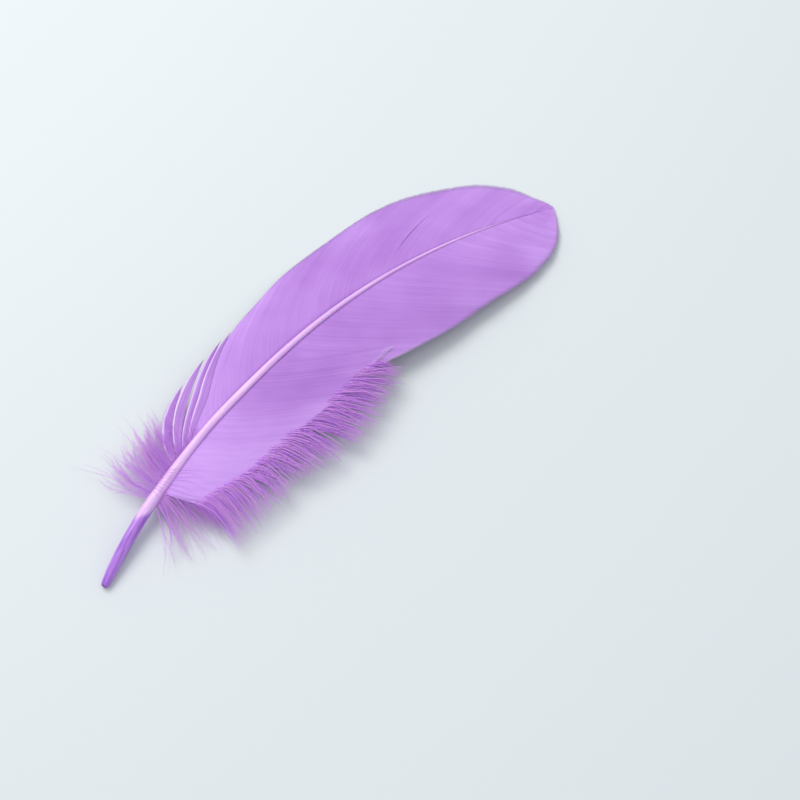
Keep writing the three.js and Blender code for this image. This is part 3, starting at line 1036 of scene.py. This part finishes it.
@finish("dyed_keratin_down")
def loose_barbs(tree, colours):
    """Downy goose barbs, the same dyed keratin in hair-thin strands with a soft lilac sheen."""
    grain = add(tree, "UVMap", GRAIN)
    # From strand to strand the dye changes a little.
    spread = add(tree, "Mapping", Vector=grain, Scale=(300, 0.6, 1))
    noise = add(tree, "TexNoise", Vector=spread, Scale=1.0, Detail=1.0)
    amount = add(tree, "MapRange", Value=noise, From_Min=0.35, From_Max=0.65, To_Min=-0.3, To_Max=0.3)
    tone = add(tree, "Attribute", TONE).outputs["Fac"]
    uneven = add(tree, "Math", ADD, i0=tone, i1=amount)
    # Painted shade: a strand is darker at its root and gets paler to its end.
    split = add(tree, "SeparateXYZ", Vector=grain)
    out = add(tree, "MapRange", Value=split.outputs["Y"], To_Min=-0.35, To_Max=0.4)
    pale = add(tree, "Math", ADD, i0=uneven, i1=out)
    paler = add(tree, "MapRange", Value=pale, From_Min=0.0, From_Max=1.0)
    dyed = add(tree, "Mix", COLOURS, Factor=paler, A=colours.down_deep, B=colours.down)
    return add(
        tree, "BsdfPrincipled", Base_Color=dyed, Roughness=0.7, IOR=KERATIN_IOR, Specular_IOR_Level=0.3,
        Sheen_Weight=0.3, Sheen_Roughness=0.5, Sheen_Tint=colours.down_deep,
    )


def furrowed_horn(tree, colours, grain):
    """The pale horn's colour, and the height of its furrows. They run along the shaft: some 20 round it, each
    up to 15 mm long."""
    run = add(tree, "Mapping", Vector=grain, Scale=(0.07, 11, 1))
    furrows = add(tree, "TexNoise", Vector=run, Scale=1.0, Detail=3.0)
    depth = add(tree, "MapRange", Value=furrows, From_Min=0.4, From_Max=0.72)
    return add(tree, "Mix", COLOURS, Factor=depth, A=colours.shaft, B=colours.shaft_deep), furrows


@finish("satin_shaft_keratin")
def pale_horn(tree, colours):
    """The shaft's horn round white pith: it takes little dye, so it stays pale pink, with a satin face and
    fine furrows along it."""
    grain = add(tree, "UVMap", GRAIN)
    horn, furrows = furrowed_horn(tree, colours, grain)
    # As it gets thinner the shaft takes more dye, and over its last 20 mm nearly as much as the barbs.
    split = add(tree, "SeparateXYZ", Vector=grain)
    thinner = add(tree, "MapRange", Value=split.outputs["X"], From_Min=65.0, From_Max=100.0, To_Max=0.17)
    last = add(tree, "MapRange", Value=split.outputs["X"], From_Min=148.0, From_Max=166.0, To_Max=0.8)
    taken = add(tree, "Math", ADD, i0=thinner, i1=last)
    dyed = add(tree, "Mix", COLOURS, Factor=taken, A=horn, B=colours.vane)
    bump = add(tree, "Bump", Strength=0.35, Distance=0.0001, Height=furrows)
    return add(
        tree, "BsdfPrincipled", Base_Color=dyed, Roughness=0.38, Normal=bump, IOR=KERATIN_IOR,
        Subsurface_Weight=0.2, Subsurface_Scale=0.0006,
    )


@finish("clear_quill_keratin")
def clear_horn(tree, colours):
    """The quill's clear horn tube, deep with dye and smooth, which lets light through."""
    grain = add(tree, "UVMap", GRAIN)
    # Streaks of stronger dye along the tube, about 0.5 mm wide and 8 mm long.
    run = add(tree, "Mapping", Vector=grain, Scale=(0.12, 5, 1))
    streaks = add(tree, "TexNoise", Vector=run, Scale=1.0, Detail=2.0)
    amount = add(tree, "MapRange", Value=streaks, From_Min=0.35, From_Max=0.65)
    dyed = add(tree, "Mix", COLOURS, Factor=amount, A=colours.quill, B=colours.quill_deep)
    # The tube clouds over where the pith fills it, from a ragged point left of the top at 18 mm, and further
    # on round its sides.
    split = add(tree, "SeparateXYZ", Vector=grain)
    centred = add(tree, "Math", ADD, i0=split.outputs["Y"], i1=0.16)
    turned = add(tree, "Math", {"operation": "ABSOLUTE"}, i0=centred)
    late = add(tree, "Math", TIMES, i0=turned, i1=-6.5)
    flakes = add(tree, "Mapping", Vector=grain, Scale=(0.8, 5, 1))
    rough_edge = add(tree, "TexNoise", Vector=flakes, Scale=1.0, Detail=4.0)
    ragged = add(tree, "Math", TIMES_PLUS, i0=rough_edge, i1=3.0, i2=-1.5)
    reached = add(tree, "Math", ADD, i0=split.outputs["X"], i1=late)
    edge = add(tree, "Math", ADD, i0=reached, i1=ragged)
    clouded = add(tree, "MapRange", Value=edge, From_Min=18.0, From_Max=19.4)
    horn, _ = furrowed_horn(tree, colours, grain)
    faced = add(tree, "Mix", COLOURS, Factor=clouded, A=dyed, B=horn)
    dull = add(tree, "MapRange", Value=clouded, To_Min=0.28, To_Max=0.38)
    clear = add(tree, "MapRange", Value=clouded, To_Min=0.25, To_Max=0.0)
    return add(
        tree, "BsdfPrincipled", Base_Color=faced, Roughness=dull, Transmission_Weight=clear, IOR=KERATIN_IOR,
        Subsurface_Weight=0.2, Subsurface_Scale=0.0006, Coat_Weight=0.08, Coat_Roughness=0.25,
    )


@finish("matt_white_card")
def matt_card(tree, colours):
    """A sheet of coated white card, plain and matt."""
    return add(tree, "BsdfPrincipled", Base_Color=colours.floor, Roughness=0.6, Specular_IOR_Level=0.2)


# ---- Stage ----

FLOOR_SIZE = 30
ROOM_COLOUR, ROOM_STRENGTH = "#f3f8ff", 0.78
LAMP_SIZE, LAMP_POWER = 0.7, 6.9
LAMP_PLACE, LAMP_TARGET = Vector((0.0, 0.68, 0.85)), Vector((0, 0.08, 0))
LENS, SENSOR = 70, 36
CAMERA_TARGET = Vector((0.09222, -0.01471, 0.003))  # from the quill's cut end
CAMERA_DISTANCE = 0.4257
CAMERA_AZIMUTH, CAMERA_ELEVATION, CAMERA_ROLL = (math.radians(a) for a in (-45.28, 64, 1.58))


def aim(thing, place, target, roll=0.0):
    look = (target - place).normalized().to_track_quat("-Z", "Y").to_matrix().to_4x4()
    thing.matrix_world = Matrix.Translation(place) @ look @ Matrix.Rotation(roll, 4, "Z")


class FEATHER_OT_stage(bpy.types.Operator):
    """Lays the floor and sets the lights and the camera"""

    bl_idname = "feather.stage"
    bl_label = "Stage"

    def execute(self, context):
        scene = context.scene
        deselect()
        bpy.ops.mesh.primitive_plane_add(size=FLOOR_SIZE, location=(0, 0, 0))
        floor = context.object
        floor.name = "floor"
        floor.data.materials.append(matt_card())

        scene.world = bpy.data.worlds.new("soft_room")
        scene.world.use_nodes = True
        room = scene.world.node_tree.nodes["Background"].inputs
        room["Color"].default_value = linear(ROOM_COLOUR)
        room["Strength"].default_value = ROOM_STRENGTH

        lamp = bpy.data.lights.new("softbox", "AREA")
        lamp.shape = "DISK"
        lamp.size = LAMP_SIZE
        lamp.energy = LAMP_POWER
        softbox = bpy.data.objects.new("softbox", lamp)
        scene.collection.objects.link(softbox)
        aim(softbox, LAMP_PLACE, LAMP_TARGET)

        camera = bpy.data.objects.new("camera", bpy.data.cameras.new("camera"))
        camera.data.lens = LENS
        camera.data.sensor_width = SENSOR
        camera.data.clip_start = 0.01
        scene.collection.objects.link(camera)
        level = Vector((-math.sin(CAMERA_AZIMUTH), math.cos(CAMERA_AZIMUTH), 0))
        look = level * math.cos(CAMERA_ELEVATION) - Vector((0, 0, math.sin(CAMERA_ELEVATION)))
        target = Vector(foot_of_frame()) + CAMERA_TARGET
        aim(camera, target - look * CAMERA_DISTANCE, target, CAMERA_ROLL)
        scene.camera = camera
        scene.view_settings.view_transform = "Standard"
        return {"FINISHED"}


class FEATHER_PT_panel(bpy.types.Panel):
    """Lists the feather's sizes, colours and steps"""

    bl_idname = "FEATHER_PT_panel"
    bl_label = "Goose quill feather"
    bl_space_type = "VIEW_3D"
    bl_region_type = "UI"
    bl_category = "Feather"

    def draw(self, context):
        for name, group in GROUPS.items():
            box = self.layout.box()
            for prop in group.__annotations__:
                box.prop(getattr(context.scene, name), prop)
        for step in STEPS:
            self.layout.operator(step.bl_idname)


STEPS = (
    FEATHER_OT_quill,
    FEATHER_OT_shaft,
    FEATHER_OT_vanes,
    FEATHER_OT_locks,
    FEATHER_OT_margin_down,
    FEATHER_OT_foot_down,
    FEATHER_OT_stage,
)


def register():
    for name, group in GROUPS.items():
        bpy.utils.register_class(group)
        setattr(bpy.types.Scene, name, bpy.props.PointerProperty(type=group))
    for step in STEPS:
        bpy.utils.register_class(step)
    bpy.utils.register_class(FEATHER_PT_panel)


def unregister():
    bpy.utils.unregister_class(FEATHER_PT_panel)
    for step in reversed(STEPS):
        bpy.utils.unregister_class(step)
    for name, group in reversed(GROUPS.items()):
        delattr(bpy.types.Scene, name)
        bpy.utils.unregister_class(group)


def main():
    register()
    bpy.ops.feather.quill()
    bpy.ops.feather.shaft()
    bpy.ops.feather.vanes()
    bpy.ops.feather.locks()
    bpy.ops.feather.margin_down()
    bpy.ops.feather.foot_down()
    bpy.ops.feather.stage()


if __name__ == "__main__":
    main()
